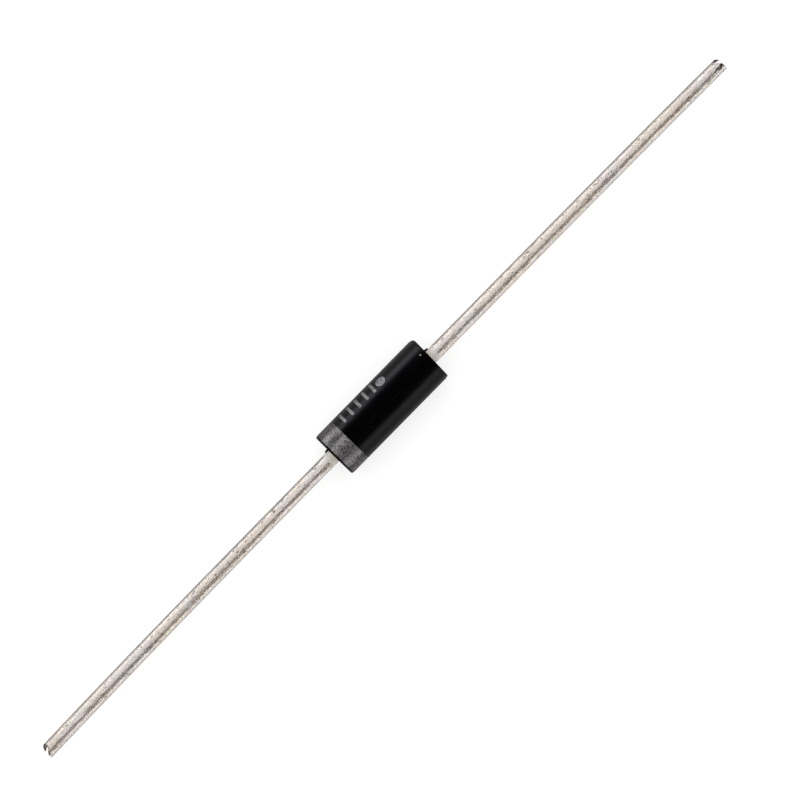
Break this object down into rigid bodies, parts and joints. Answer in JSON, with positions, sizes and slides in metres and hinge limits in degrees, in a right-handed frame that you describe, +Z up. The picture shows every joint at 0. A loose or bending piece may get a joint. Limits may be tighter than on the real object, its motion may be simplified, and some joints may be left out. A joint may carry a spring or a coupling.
{
  "type": "axial rectifier diode",
  "caption": "Axial-lead rectifier diode lying on its side: a black moulded epoxy cylinder with a grey cathode band and a long straight tinned wire lead from each end.",
  "frame": {"origin": "middle of the diode's length and width, on the plane that the diode lies on", "axes": "+X along the leads from the cathode to the anode, +Z up, and the row of ink marks on the +Y side of the top"},
  "size_m": [0.0624, 0.0034, 0.0033],
  "materials": {
    "epoxy": "satin",
    "tinned_wire": "satin",
    "solder": "satin",
    "silicon": "gloss",
    "coating_rubber": "matte",
    "band_ink": "satin",
    "mark_ink": "satin"
  },
  "bodies": {
    "root": {"epoxy_body": "epoxy", "cathode_lead": "tinned_wire", "anode_lead": "tinned_wire", "cathode_solder": "solder", "anode_solder": "solder", "silicon_die": "silicon", "junction_coating": "coating_rubber", "cathode_band": "band_ink", "marking_ink": "mark_ink"}
  },
  "joints": []
}
